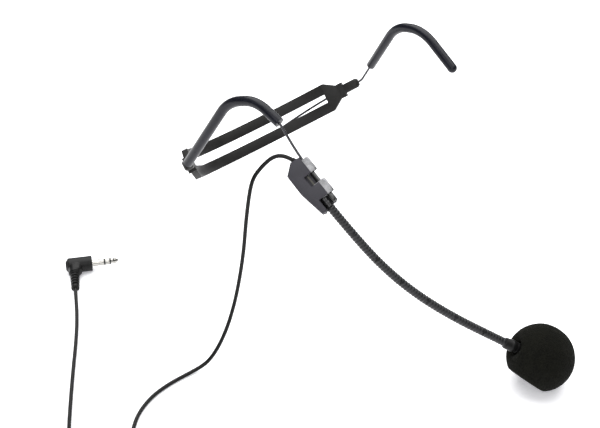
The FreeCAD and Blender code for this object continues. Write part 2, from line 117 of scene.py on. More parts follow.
def coil_point(sweep):
    turn, part = divmod(sweep / 360.0, 1.0)
    (r0, z0), (r1, z1) = lane_of(int(turn)), lane_of(int(turn) + 1)
    across = max(0.0, (part - CROSS_FROM) / (1 - CROSS_FROM))
    across = across * across * (3 - 2 * across)
    r, z = r0 + (r1 - r0) * across, z0 + (z1 - z0) * across
    a = math.radians(COIL_ENTRY - sweep)
    return (COIL_CENTRE[0] + r * math.cos(a), COIL_CENTRE[1] + r * math.sin(a), z)


coil_steps = int(COIL_SWEEP / 360 * POINTS_PER_TURN)
coil_route = [coil_point(COIL_SWEEP * k / coil_steps) for k in range(coil_steps + 1)]
lead_route = [LEAD_START] + RUN_ROUTE + coil_route + TAIL_ROUTE
print("lead control points", len(lead_route))


# %% Make the lead
def smooth_curve(name, points, radius, round_steps=4):
    """A curve object with one open spline that follows the points smoothly, in millimetres."""
    data = bpy.data.curves.new(name, "CURVE")
    data.dimensions = "3D"
    data.bevel_depth = radius
    data.bevel_resolution = round_steps
    data.resolution_u = 6
    data.use_fill_caps = True
    spline = data.splines.new("NURBS")
    spline.points.add(len(points) - 1)
    for slot, point in zip(spline.points, points):
        slot.co = (*[c * MM for c in point], 1.0)
    spline.order_u = 3
    spline.use_endpoint_u = True
    made = bpy.data.objects.new(name, data)
    bpy.context.collection.objects.link(made)
    return made


def line_points(curve):
    """The points of a curve's own line, read from a copy of it with no thickness."""
    thin = curve.copy()
    thin.data = curve.data.copy()
    thin.data.bevel_depth = 0.0
    points = [v.co.copy() for v in bpy.data.meshes.new_from_object(thin).vertices]
    bpy.data.objects.remove(thin)
    return points


def tube_of(curve, name):
    """The mesh of a thick curve, as an object of its own."""
    tube = bpy.data.objects.new(name, bpy.data.meshes.new_from_object(curve))
    bpy.context.collection.objects.link(tube)
    return tube


def length_of(points):
    return sum((b - a).length for a, b in zip(points, points[1:]))


lead_curve = smooth_curve("lead_curve", lead_route, CABLE_R)
lead_line = line_points(lead_curve)
lead = tube_of(lead_curve, "lead")
bpy.data.objects.remove(lead_curve)
print("lead length", round(length_of(lead_line), 4), "faces", len(lead.data.polygons))

# %% [markdown]
# ## Places taken from the frame
# The boom holder is turned against the world's axes, so its pieces are made flat and upright in a local
# frame first, and their meshes are then moved to the holder: x runs down the wire, y leads away from it
# and z is the inner side's normal. The plug has its own frame, x back along the lead, y along the pin.

# %% Local frames
joint_at = {j["name"]: j for j in frame["joints"]}


def frame_matrix(origin, x_axis, y_hint):
    x = Vector(x_axis).normalized()
    y = Vector(y_hint)
    y = (y - x * x.dot(y)).normalized()
    z = x.cross(y)
    columns = Matrix((x, y, z)).transposed().to_4x4()
    return Matrix.Translation(Vector(origin)) @ columns


def upright_at(origin, direction):
    """A frame whose z runs along the direction."""
    turn = Vector((0, 0, 1)).rotation_difference(Vector(direction)).to_matrix().to_4x4()
    return Matrix.Translation(Vector(origin)) @ turn


swing = joint_at["holder_swing"]
GRIP_LINE = Vector(swing["axis"]).normalized()
HOLDER_TURN = math.radians(51.0)
sideways = Vector((-1, 0, 0)) - GRIP_LINE * -GRIP_LINE.x
sideways.normalize()
upwards = sideways.cross(GRIP_LINE)
upwards = upwards if upwards.z > 0 else -upwards
face_normal = sideways * math.cos(HOLDER_TURN) + upwards * math.sin(HOLDER_TURN)
HOLDER = frame_matrix(swing["pos_m"], GRIP_LINE, GRIP_LINE.cross(face_normal))
print("holder frame", [round(c, 3) for c in HOLDER.col[1]])

PIN_DIR = Vector((0.8351, -0.5501, 0.0))
PLUG = frame_matrix((-97.0 * MM, 57.6 * MM, -70.8 * MM), (-0.5501, -0.8351, 0.0), PIN_DIR)
CAPSULE_AXIS = Vector((0.64, -0.615, -0.46)).normalized()
CAPSULE_START = Vector((-4.6, -159.6, -52.5)) * MM
CAPSULE = upright_at(CAPSULE_START, CAPSULE_AXIS)

# %% [markdown]
# ## Tools for making pieces
# A few small helpers cover most pieces. One turns a round part on a lathe, station by station, by
# extruding and scaling a circle. One lays a flat outline and extrudes it. Two take a copy of a frame
# part and break its sharp edges, and the last puts the finished mesh in place.

# %% Helpers for modelling
def pick_only(*objects):
    bpy.ops.object.select_all(action="DESELECT")
    for each in objects:
        each.select_set(True)
    bpy.context.view_layer.objects.active = objects[0]


def lathe(name, stations, sides=48):
    """A closed round part along z. Stations are (distance, radius) in millimetres."""
    bpy.ops.object.select_all(action="DESELECT")
    first_z, first_r = stations[0]
    bpy.ops.mesh.primitive_circle_add(vertices=sides, radius=first_r * MM, fill_type="NGON")
    part = bpy.context.object
    part.name = name
    bpy.ops.object.mode_set(mode="EDIT")
    bpy.ops.mesh.select_all(action="SELECT")
    bpy.ops.transform.translate(value=(0, 0, first_z * MM))
    z, r = first_z, first_r
    for next_z, next_r in stations[1:]:
        bpy.ops.mesh.extrude_region_move(TRANSFORM_OT_translate={"value": (0, 0, (next_z - z) * MM)})
        bpy.ops.transform.resize(value=(next_r / r, next_r / r, 1), center_override=(0, 0, next_z * MM))
        z, r = next_z, next_r
    bpy.ops.mesh.select_all(action="SELECT")
    bpy.ops.mesh.normals_make_consistent(inside=False)
    bpy.ops.object.mode_set(mode="OBJECT")
    return part


def flat_outline(name, outline, z0, z1):
    """A prism on an outline of (x, y) millimetres, from z0 to z1."""
    bpy.ops.object.select_all(action="DESELECT")
    bpy.ops.mesh.primitive_circle_add(vertices=len(outline), radius=MM, fill_type="NGON")
    part = bpy.context.object
    part.name = name
    for vertex, (x, y) in zip(part.data.vertices, outline):
        vertex.co = (x * MM, y * MM, z0 * MM)
    bpy.ops.object.mode_set(mode="EDIT")
    bpy.ops.mesh.select_all(action="SELECT")
    bpy.ops.mesh.extrude_region_move(TRANSFORM_OT_translate={"value": (0, 0, (z1 - z0) * MM)})
    bpy.ops.object.mode_set(mode="OBJECT")
    return part


def copy_of(node, name):
    """A merged copy of a frame part, with its flat faces cleaned of loose triangles."""
    source = nodes[node]
    part = bpy.data.objects.new(name, source.data.copy())
    bpy.context.collection.objects.link(part)
    pick_only(part)
    bpy.ops.object.mode_set(mode="EDIT")
    bpy.ops.mesh.select_all(action="SELECT")
    bpy.ops.mesh.remove_doubles(threshold=1e-6)
    bpy.ops.mesh.dissolve_limited(angle_limit=math.radians(1.5))
    bpy.ops.mesh.normals_make_consistent(inside=False)
    bpy.ops.object.mode_set(mode="OBJECT")
    return part


def apply_all(part):
    pick_only(part)
    for modifier in list(part.modifiers):
        bpy.ops.object.modifier_apply(modifier=modifier.name)


def break_edges(part, width, steps=3, above=35.0):
    """Rounds the edges that are sharper than an angle."""
    bevel = part.modifiers.new("edges", "BEVEL")
    bevel.width = width * MM
    bevel.segments = steps
    bevel.limit_method = "ANGLE"
    bevel.angle_limit = math.radians(above)
    bevel.use_clamp_overlap = True
    apply_all(part)


def place(part, matrix, body, material, stands_for=(), smooth=40.0):
    """Moves the mesh to its place, ties the piece to its body, gives it its finish and hides the frame
    parts it stands for.
    """
    part.data.transform(matrix)
    pick_only(part)
    bpy.ops.object.mode_set(mode="EDIT")
    bpy.ops.mesh.select_all(action="SELECT")
    bpy.ops.mesh.normals_make_consistent(inside=False)
    bpy.ops.object.mode_set(mode="OBJECT")
    bpy.ops.object.shade_smooth_by_angle(angle=math.radians(smooth))
    part.data.materials.clear()
    part.data.materials.append(material)
    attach(part, body)
    if stands_for:
        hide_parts(*stands_for)
    return part


AS_IT_IS = Matrix.Identity(4)

# %% [markdown]
# ## Finishes
# Every finish is built from the same short chain: two layers of noise in object space tint the colour,
# vary the roughness and lift the surface a little. What differs is the scale of the grain, how far the
# tints lie apart and how glossy it is. Object space keeps the grain at its true size on every piece.

# %% Finish builder
FINE_SHARE, BROAD_SHARE = 0.6, 0.4
TINT_FROM, TINT_TO = 0.36, 0.64
GLOSS_FROM, GLOSS_TO = 0.3, 0.7


def finish_of(name, dark, light, rough, grain, relief, metallic=0.0, stretch=(1, 1, 1), mottle=140.0,
              specular=0.5, coat=0.0, sheen=0.0):
    """A surface with fine grain (features per metre), broad mottling, and relief in millimetres."""
    made = bpy.data.materials.new(name)
    made.use_nodes = True
    tree = made.node_tree
    shader = tree.nodes["Principled BSDF"]
    shader.inputs["Metallic"].default_value = metallic
    shader.inputs["Specular IOR Level"].default_value = specular
    shader.inputs["Coat Weight"].default_value = coat
    shader.inputs["Coat Roughness"].default_value = 0.25
    shader.inputs["Sheen Weight"].default_value = sheen
    shader.inputs["Sheen Roughness"].default_value = 0.5

    place_of = tree.nodes.new("ShaderNodeTexCoord")
    mapping = tree.nodes.new("ShaderNodeMapping")
    mapping.inputs["Scale"].default_value = stretch
    tree.links.new(place_of.outputs["Object"], mapping.inputs["Vector"])

    fine = tree.nodes.new("ShaderNodeTexNoise")
    fine.inputs["Scale"].default_value = grain
    fine.inputs["Detail"].default_value = 5.0
    fine.inputs["Roughness"].default_value = 0.65
    broad = tree.nodes.new("ShaderNodeTexNoise")
    broad.inputs["Scale"].default_value = mottle
    broad.inputs["Detail"].default_value = 3.0
    for noise_node in (fine, broad):
        tree.links.new(mapping.outputs["Vector"], noise_node.inputs["Vector"])

    both = tree.nodes.new("ShaderNodeMath")
    both.operation = "MULTIPLY_ADD"
    both.inputs[1].default_value = FINE_SHARE
    broad_part = tree.nodes.new("ShaderNodeMath")
    broad_part.operation = "MULTIPLY"
    broad_part.inputs[1].default_value = BROAD_SHARE
    tree.links.new(broad.outputs["Fac"], broad_part.inputs[0])
    tree.links.new(fine.outputs["Fac"], both.inputs[0])
    tree.links.new(broad_part.outputs[0], both.inputs[2])

    ramp = tree.nodes.new("ShaderNodeValToRGB")
    ramp.color_ramp.elements[0].position, ramp.color_ramp.elements[1].position = TINT_FROM, TINT_TO
    ramp.color_ramp.elements[0].color = (*dark, 1)
    ramp.color_ramp.elements[1].color = (*light, 1)
    tree.links.new(both.outputs[0], ramp.inputs["Fac"])
    tree.links.new(ramp.outputs["Color"], shader.inputs["Base Color"])

    spread = tree.nodes.new("ShaderNodeMapRange")
    spread.inputs["From Min"].default_value = GLOSS_FROM
    spread.inputs["From Max"].default_value = GLOSS_TO
    spread.inputs["To Min"].default_value, spread.inputs["To Max"].default_value = rough
    tree.links.new(both.outputs[0], spread.inputs["Value"])
    tree.links.new(spread.outputs["Result"], shader.inputs["Roughness"])

    bump = tree.nodes.new("ShaderNodeBump")
    bump.inputs["Strength"].default_value = 1.0
    bump.inputs["Distance"].default_value = relief * MM
    tree.links.new(fine.outputs["Fac"], bump.inputs["Height"])
    tree.links.new(bump.outputs["Normal"], shader.inputs["Normal"])
    return made


# %% The finishes of this object
blued_steel = finish_of("blued_steel", dark=(0.03, 0.03, 0.033), light=(0.08, 0.08, 0.088),
                        rough=(0.2, 0.32), grain=2600, relief=0.004, metallic=0.9, mottle=400)
hook_rubber = finish_of("hook_rubber", dark=(0.004, 0.0045, 0.008), light=(0.008, 0.0085, 0.014),
                        rough=(0.24, 0.34), grain=5200, relief=0.01, specular=0.24)
strap_rubber = finish_of("strap_rubber", dark=(0.004, 0.004, 0.0035), light=(0.009, 0.0085, 0.008),
                         rough=(0.42, 0.56), grain=4200, relief=0.03, specular=0.32)
sleeve_gloss = finish_of("sleeve_gloss", dark=(0.006, 0.006, 0.006), light=(0.011, 0.011, 0.011),
                         rough=(0.18, 0.28), grain=2600, relief=0.004, coat=0.3)
housing_plastic = finish_of("housing_plastic", dark=(0.020, 0.019, 0.025), light=(0.034, 0.032, 0.041),
                            rough=(0.5, 0.62), grain=6500, relief=0.03, specular=0.38)
clip_steel = finish_of("clip_steel", dark=(0.16, 0.16, 0.165), light=(0.34, 0.34, 0.35),
                       rough=(0.3, 0.46), grain=1500, relief=0.006, metallic=0.95,
                       stretch=(1, 5, 5), mottle=220)
spine_steel = finish_of("spine_steel", dark=(0.02, 0.02, 0.018), light=(0.06, 0.058, 0.052),
                        rough=(0.2, 0.32), grain=1800, relief=0.005, metallic=1.0)
lead_jacket = finish_of("lead_jacket", dark=(0.002, 0.002, 0.002), light=(0.005, 0.005, 0.005),
                        rough=(0.28, 0.4), grain=3600, relief=0.008, specular=0.2)
tie_plastic = finish_of("tie_plastic", dark=(0.010, 0.010, 0.010), light=(0.018, 0.018, 0.018),
                        rough=(0.3, 0.45), grain=3000, relief=0.01)
moulded_black = finish_of("moulded_black", dark=(0.004, 0.004, 0.004), light=(0.009, 0.009, 0.009),
                          rough=(0.34, 0.48), grain=5200, relief=0.018, specular=0.2)
board_resin = finish_of("board_resin", dark=(0.01, 0.09, 0.03), light=(0.02, 0.14, 0.05),
                        rough=(0.3, 0.45), grain=3800, relief=0.01)
solder_tin = finish_of("solder_tin", dark=(0.5, 0.5, 0.49), light=(0.7, 0.7, 0.68),
                       rough=(0.25, 0.45), grain=2600, relief=0.03, metallic=1.0)
nickel = finish_of("nickel", dark=(0.36, 0.35, 0.33), light=(0.5, 0.49, 0.46),
                   rough=(0.12, 0.2), grain=1700, relief=0.003, metallic=1.0)
socket_black = finish_of("socket_black", dark=(0.02, 0.02, 0.02), light=(0.05, 0.05, 0.052),
                         rough=(0.2, 0.32), grain=2400, relief=0.004, metallic=0.8, specular=0.6)
neck_steel = finish_of("neck_steel", dark=(0.008, 0.008, 0.009), light=(0.018, 0.018, 0.020),
                       rough=(0.24, 0.36), grain=3000, relief=0.006, metallic=0.3, specular=0.5)
can_aluminium = finish_of("can_aluminium", dark=(0.6, 0.6, 0.6), light=(0.8, 0.8, 0.8),
                          rough=(0.25, 0.4), grain=2000, relief=0.005, metallic=1.0)
grille_steel = finish_of("grille_steel", dark=(0.2, 0.2, 0.2), light=(0.34, 0.34, 0.34),
                         rough=(0.3, 0.45), grain=2400, relief=0.006, metallic=1.0)
soft_rubber = finish_of("soft_rubber", dark=(0.010, 0.010, 0.010), light=(0.018, 0.018, 0.018),
                        rough=(0.55, 0.7), grain=3400, relief=0.02)
insulator_gloss = finish_of("insulator_gloss", dark=(0.006, 0.006, 0.006), light=(0.010, 0.010, 0.010),
                            rough=(0.2, 0.3), grain=2600, relief=0.004)


def dress(node, material):
    """Gives a frame part its finish."""
    part = nodes[node]
    if not part.material_slots:
        part.data.materials.append(material)
    for slot in part.material_slots:
        slot.material = material


for node, material in {
        "spring_wire": blued_steel, "clip_spine": spine_steel, "cable_clamp": moulded_black,
        "terminal_board": board_resin, "solder_pads": solder_tin, "electret_capsule": can_aluminium,
        "capsule_gasket": soft_rubber, "capsule_grille": grille_steel, "jack_core": nickel}.items():
    dress(node, material)

# %% [markdown]
# ## Hooks, strap and boots
# The soft parts are moulded in rubber, and no moulding has a knife edge. A merged copy of each frame part
# keeps its exact shape, and a bevel rounds every edge. The strap's edges are rounded more than the
# boots', which show crisp chamfers.

# %% Rubber parts
for side in ("right", "left"):
    hook = copy_of(f"{side}_ear_tube", f"{side}_ear_hook")
    break_edges(hook, 0.35, above=50.0)
    place(hook, AS_IT_IS, "headframe", hook_rubber, [f"{side}_ear_tube"], smooth=50.0)
    collar = copy_of(f"{side}_strap_collar", f"{side}_collar")
    break_edges(collar, 0.5)
    place(collar, AS_IT_IS, "headframe", strap_rubber, [f"{side}_strap_collar"])
    boot = copy_of(f"{side}_wire_boot", f"{side}_boot")
    break_edges(boot, 0.18, steps=2, above=20.0)
    place(boot, AS_IT_IS, "headframe", strap_rubber, [f"{side}_wire_boot"], smooth=25.0)

strap = copy_of("neck_strap", "strap")
break_edges(strap, 0.45)
place(strap, AS_IT_IS, "headframe", strap_rubber, ["neck_strap"])

sleeve = copy_of("grip_sleeve", "wire_sleeve")
break_edges(sleeve, 0.2, above=50.0)
place(sleeve, AS_IT_IS, "headframe", sleeve_gloss, ["grip_sleeve"])

# %% [markdown]
# ## The boom holder's two shells
# Each half is a flat moulding. Both share the back edge. Towards the wire the outer half has a recess
# between the clips, and the inner half closes it from behind and ends in a tongue beside the socket.
# A narrow groove runs just inside the rim of the face, made with two insets, one that sinks and one
# that rises again. After the bevel, rooms are cut for everything the halves hold.

# %% Holder shells
SHELL_BACK = [(-2.0, 0.3), (-2.4, 4.9), (1.4, 9.6), (11.2, 9.7), (23.7, 7.7), (24.3, 6.2), (23.6, 5.15)]
RAILS = {"outer": [(18.4, 5.15), (18.4, 0.3), (11.9, 0.3), (11.9, 4.2), (6.5, 4.2), (6.5, 0.3)],
         "inner": [(22.9, 5.15), (22.9, -0.3), (22.2, -1.3), (18.6, -1.3), (18.6, 0.3)]}
SHELL_T = 2.5
GROOVE_IN, GROOVE_W, GROOVE_DEEP = 0.42, 0.16, 0.14
CLIP_STARTS, CLIP_LENGTH, CLIP_REACH = {"upper": -0.4, "lower": 11.6}, 6.9, 2.9
POCKET_HALF, SOCKET_ROOM_HALF, SLEEVE_ROOM_R, GROMMET_ROOM_R = 1.66, 1.75, 1.3, 1.42
GROMMET_IN, GROMMET_OUT = Vector((-0.61, 2.19, 0)) * MM, Vector((-3.4, 3.3, 0)) * MM


def boolean_cut(part, tool):
    cut = part.modifiers.new("cut", "BOOLEAN")
    cut.operation = "DIFFERENCE"
    cut.solver = "EXACT"
    cut.object = tool
    apply_all(part)
    bpy.data.objects.remove(tool)


def box_tool(x0, x1, y0, y1, half):
    """A box to cut with, in millimetres, as deep on both sides of the middle plane."""
    bpy.ops.object.select_all(action="DESELECT")
    bpy.ops.mesh.primitive_cube_add(size=MM, location=((x0 + x1) / 2 * MM, (y0 + y1) / 2 * MM, 0),
                                    scale=(x1 - x0, y1 - y0, 2 * half))
    bpy.ops.object.transform_apply(location=True, rotation=True, scale=True)
    return bpy.context.object


def rooms():
    """What each half has to clear: both clips, the socket, the sleeve on the wire and the grommet."""
    tools = [box_tool(start, start + CLIP_LENGTH, -3.2, 3.2, POCKET_HALF)
             for start in CLIP_STARTS.values()]
    tools.append(box_tool(18.4, 25.0, -3.0, 5.15, SOCKET_ROOM_HALF))
    along_wire = lathe("sleeve_room", [(-4.0, SLEEVE_ROOM_R), (19.0, SLEEVE_ROOM_R)])
    along_wire.data.transform(Matrix.Rotation(math.radians(90), 4, "Y"))
    along_lead = lathe("grommet_room", [(0.0, GROMMET_ROOM_R), (3.2, GROMMET_ROOM_R)])
    along_lead.data.transform(upright_at(GROMMET_IN, GROMMET_OUT - GROMMET_IN))
    return tools + [along_wire, along_lead]


for side_name, side in (("outer", -1), ("inner", 1)):
    shell = flat_outline(f"holder_{side_name}_half", SHELL_BACK + RAILS[side_name], 0.0, SHELL_T * side)
    bpy.ops.object.mode_set(mode="EDIT")
    shape = bmesh.from_edit_mesh(shell.data)
    for face in shape.faces:
        face.select = all(abs(v.co.z - SHELL_T * side * MM) < 1e-6 for v in face.verts)
    bmesh.update_edit_mesh(shell.data)
    bpy.ops.mesh.normals_make_consistent(inside=False)
    bpy.ops.mesh.inset(thickness=GROOVE_IN * MM, depth=0)
    bpy.ops.mesh.inset(thickness=GROOVE_W * MM, depth=-GROOVE_DEEP * MM)
    bpy.ops.mesh.inset(thickness=GROOVE_W * MM, depth=GROOVE_DEEP * MM)
    bpy.ops.object.mode_set(mode="OBJECT")
    break_edges(shell, 0.22, above=55.0)
    for room in rooms():
        boolean_cut(shell, room)
    place(shell, HOLDER, "holder", housing_plastic,
          [f"holder_{side_name}_shell"], smooth=30.0)
    print(shell.name, len(shell.data.polygons), "faces")

# %% [markdown]
# ## The clips
# Each clip is one strip of thin steel, folded round the sleeve into a channel. The strip's path is drawn
# across the wire, with a small radius at each fold, and stretched along it. A Solidify modifier gives
# the sheet its thickness, and a fine bevel dulls the cut edges so that they catch the light.

# %% Wire clips
CLIP_SHEET = 0.4
CLIP_HALF, CLIP_LEGS, FOLD_R = 1.4, 3.1, 0.7
CLIP_BACK = -CLIP_REACH + CLIP_SHEET / 2
FOLD_STEPS = 6


def clip_path():
    """Points (y, z) across the wire: down one leg, round both folds and up the other."""
    path = [(CLIP_LEGS, -CLIP_HALF)]
    for centre_z, start in ((-CLIP_HALF + FOLD_R, -90.0), (CLIP_HALF - FOLD_R, 180.0)):
        for k in range(FOLD_STEPS + 1):
            a = math.radians(start - 90.0 * k / FOLD_STEPS)
            path.append((CLIP_BACK + FOLD_R + FOLD_R * math.cos(a), centre_z + FOLD_R * math.sin(a)))
    return path + [(CLIP_LEGS, CLIP_HALF)]


for clip_name, start in CLIP_STARTS.items():
    bpy.ops.object.select_all(action="DESELECT")
    path = clip_path()
    bpy.ops.mesh.primitive_circle_add(vertices=len(path), radius=MM, fill_type="NOTHING")
    clip = bpy.context.object
    clip.name = f"{clip_name}_clip"
    for vertex, (y, z) in zip(clip.data.vertices, path):
        vertex.co = (start * MM, y * MM, z * MM)
    bpy.ops.object.mode_set(mode="EDIT")
    shape = bmesh.from_edit_mesh(clip.data)
    shape.verts.ensure_lookup_table()
    closing = shape.edges.get((shape.verts[0], shape.verts[-1]))
    shape.edges.remove(closing)
    bmesh.update_edit_mesh(clip.data)
    bpy.ops.mesh.select_all(action="SELECT")
    bpy.ops.mesh.extrude_region_move(TRANSFORM_OT_translate={"value": (CLIP_LENGTH * MM, 0, 0)})
    bpy.ops.mesh.select_all(action="SELECT")
    bpy.ops.mesh.normals_make_consistent(inside=False)
    bpy.ops.object.mode_set(mode="OBJECT")
    sheet = clip.modifiers.new("sheet", "SOLIDIFY")
    sheet.thickness = CLIP_SHEET * MM
    sheet.offset = 0.0
    apply_all(clip)
    break_edges(clip, 0.07, steps=2, above=60.0)
    place(clip, HOLDER, "holder", clip_steel, [f"{clip_name}_wire_clip"], smooth=35.0)

# %% [markdown]
# ## Gooseneck socket and cable grommet
# Both are lathe parts. The socket is blackened steel: a barrel with a raised collar and a fine groove on
# each side of it. The grommet tapers towards the cable, with two relief grooves, so that it bends
# before it kinks.

# %% Socket and grommet
SOCKET_OUT = 3.2
socket_profile = [(14.7, 0.75), (18.65, 0.75), (18.7, 1.45), (18.85, 1.56), (20.1, 1.56),
                  (20.2, 1.4), (20.5, 1.4), (20.6, 1.62), (20.7, 1.7), (21.7, 1.7),
                  (21.8, 1.62), (21.85, 1.4), (22.15, 1.4), (22.25, 1.56), (23.35, 1.56),
                  (23.5, 1.45)]
socket = lathe("boom_socket", socket_profile)
down_wire = HOLDER @ Matrix.Translation((0, SOCKET_OUT * MM, 0)) @ Matrix.Rotation(math.radians(90), 4, "Y")
place(socket, down_wire, "holder", socket_black, ["gooseneck_socket"], smooth=30.0)

grommet = lathe("lead_grommet", [(0.0, 1.28), (0.9, 1.28), (1.0, 1.14), (1.25, 1.14),
                                 (1.35, 1.27), (1.85, 1.25), (1.95, 1.12), (2.2, 1.12),
                                 (2.3, 1.22), (2.8, 1.18), (3.0, 1.08)])
grommet_place = upright_at(HOLDER @ GROMMET_IN, HOLDER.to_3x3() @ (GROMMET_OUT - GROMMET_IN))
place(grommet, grommet_place, "holder", lead_jacket, ["cable_grommet"], smooth=35.0)

# %% [markdown]
# ## The gooseneck
# A gooseneck is wound from two wires, and outside it shows as a fine, even row of ridges. One ridge is
# made as a short open tube, an Array repeats it, and a Curve modifier bends the row along the boom's line.
# The row is then cut where the frame bends, in the valley between two ridges, and each length rides on
# its own body.

# %% Gooseneck line
GOOSE_ROUTE = [(-52.3, -99.8, 6.5), (-44.8, -113.2, -10.2), (-35.5, -126.2, -24.1),
               (-23.9, -139.8, -36.3), (-11.5, -152.6, -46.8), (-4.6, -159.6, -52.5)]
goose_start = HOLDER @ (Vector((23.5, SOCKET_OUT, 0)) * MM)
goose_curve = smooth_curve("goose_line", [tuple(c / MM for c in goose_start)] + GOOSE_ROUTE, 0.0)
goose_curve.data.resolution_u = 24
goose_points = line_points(goose_curve)
goose_length = length_of(goose_points)
LENGTHS, RIDGES_EACH = 7, 10
ridge_pitch = goose_length / (LENGTHS * RIDGES_EACH) / MM
print("gooseneck", round(goose_length, 4), "ridge pitch mm", round(ridge_pitch, 3))

# %% Wound ridges
RIDGE_R, VALLEY_R, VALLEY_HALF, RIDGE_SIDES = 2.0, 1.8, 0.12, 32
SHOULDER_AT, SHOULDER_R, CREST_AT = VALLEY_HALF + 0.16, 1.93, VALLEY_HALF + 0.36
ridge_stations = [(0.0, VALLEY_R), (VALLEY_HALF, VALLEY_R), (SHOULDER_AT, SHOULDER_R), (CREST_AT, RIDGE_R),
                  (ridge_pitch - CREST_AT, RIDGE_R), (ridge_pitch - SHOULDER_AT, SHOULDER_R),
                  (ridge_pitch - VALLEY_HALF, VALLEY_R), (ridge_pitch, VALLEY_R)]
bpy.ops.object.select_all(action="DESELECT")
bpy.ops.mesh.primitive_circle_add(vertices=RIDGE_SIDES, radius=VALLEY_R * MM, fill_type="NOTHING")
ridges = bpy.context.object
ridges.name = "gooseneck_ridges"
bpy.ops.object.mode_set(mode="EDIT")
bpy.ops.mesh.select_all(action="SELECT")
z, r = ridge_stations[0]
for next_z, next_r in ridge_stations[1:]:
    bpy.ops.mesh.extrude_region_move(TRANSFORM_OT_translate={"value": (0, 0, (next_z - z) * MM)})
    bpy.ops.transform.resize(value=(next_r / r, next_r / r, 1), center_override=(0, 0, next_z * MM))
    z, r = next_z, next_r
bpy.ops.object.mode_set(mode="OBJECT")
row = ridges.modifiers.new("row", "ARRAY")
row.count = LENGTHS * RIDGES_EACH
row.use_relative_offset = False
row.use_constant_offset = True
row.constant_offset_displace = (0, 0, ridge_pitch * MM)
row.use_merge_vertices = True
row.merge_threshold = 0.02 * MM
bend = ridges.modifiers.new("bend", "CURVE")
bend.object = goose_curve
bend.deform_axis = "POS_Z"
apply_all(ridges)
print("ridged tube", len(ridges.data.polygons), "faces")


# %% Cut the gooseneck at its bends
def line_direction(points, where):
    """Direction of the line at the point of it nearest to a place."""
    near = min(range(1, len(points) - 1), key=lambda k: (points[k] - where).length)
    return (points[near + 1] - points[near - 1]).normalized()


def cut_between(source, name, start_cut, end_cut, clear):
    """The part of a mesh between two planes (point, direction), each cut back and closed."""
    piece = bpy.data.objects.new(name, source.data.copy())
    bpy.context.collection.objects.link(piece)
    pick_only(piece)
    for cut, sign in ((start_cut, -1), (end_cut, 1)):
        if cut is None:
            continue
        point, direction = cut
        bpy.ops.object.mode_set(mode="EDIT")
        bpy.ops.mesh.select_all(action="SELECT")
        bpy.ops.mesh.bisect(plane_co=point - direction * sign * clear, plane_no=direction * sign,
                            use_fill=True, clear_outer=True)
        bpy.ops.object.mode_set(mode="OBJECT")
    return piece


bend_names = ["boom_lift_1", "boom_reach_1", "boom_lift_2", "boom_reach_2", "boom_lift_3", "boom_reach_3"]
cuts = []
for name in bend_names:
    where = Vector(joint_at[name]["pos_m"])
    cuts.append((where, line_direction(goose_points, where)))
boom_bodies = ["holder", "boom_2", "boom_3", "boom_4", "boom_5", "boom_6", "capsule"]
LINER_R, CUT_CLEAR, LINER_CLEAR = 1.3, 0.28 * MM, 0.15 * MM
liner_curve = smooth_curve("liner_line", [tuple(c / MM for c in goose_start)] + GOOSE_ROUTE, LINER_R * MM)
liner = tube_of(liner_curve, "liner")
for k, body in enumerate(boom_bodies):
    start_cut = cuts[k - 1] if k else None
    end_cut = cuts[k] if k < len(cuts) else None
    length = cut_between(ridges, f"gooseneck_length_{k + 1}", start_cut, end_cut, CUT_CLEAR)
    pick_only(length)
    bpy.ops.object.mode_set(mode="EDIT")
    bpy.ops.mesh.select_all(action="DESELECT")
    bpy.ops.mesh.select_non_manifold()
    bpy.ops.mesh.edge_face_add()
    bpy.ops.object.mode_set(mode="OBJECT")
    place(length, AS_IT_IS, body, neck_steel, [f"gooseneck_{k + 1}"], smooth=60.0)
    inner = cut_between(liner, f"inner_lead_{k + 1}", start_cut, end_cut, LINER_CLEAR)
    stands_for = ["gooseneck_core"] if k == 0 else ()
    place(inner, AS_IT_IS, body, soft_rubber, stands_for, smooth=60.0)
for spare in (ridges, goose_curve, liner, liner_curve):
    bpy.data.objects.remove(spare)

# %% [markdown]
# ## Capsule collar and housing
# A stepped collar grips the gooseneck's end and joins it to the capsule. It is a lathe part with softened
# corners, and the thin cup behind the grille is another, turned inside out at the end of its outline to
# make the hollow.

# %% Collar and housing
collar = lathe("boom_collar", [(-2.9, 2.3), (-2.75, 2.55), (-2.5, 2.62), (0.1, 2.66), (0.25, 2.72),
                               (0.45, 2.88), (0.7, 2.9), (1.6, 2.9), (1.85, 2.82), (2.0, 2.55),
                               (2.1, 2.5), (3.0, 2.5), (3.1, 2.4), (3.3, 2.4), (3.4, 2.5),
                               (5.4, 2.5), (5.6, 2.4)])
place(collar, CAPSULE, "capsule", moulded_black, ["capsule_collar"], smooth=35.0)
housing = lathe("capsule_cup", [(5.6, 3.1), (5.8, 3.36), (6.0, 3.4), (15.45, 3.4),
                                (15.6, 3.3), (15.55, 3.1), (6.5, 3.1), (6.4, 2.9)])
place(housing, CAPSULE, "capsule", moulded_black, ["capsule_housing"], smooth=35.0)

# %% [markdown]
# ## The foam windscreen
# Open-cell foam is soft, dark and full of small pores. The ball starts as a sphere and its skin is
# roughened in two sizes with a fixed noise. It is drawn in to a crater around the collar, softly
# flattened on one side where it has been pressed, and flat where it rests. The material carries the
# finest pores.

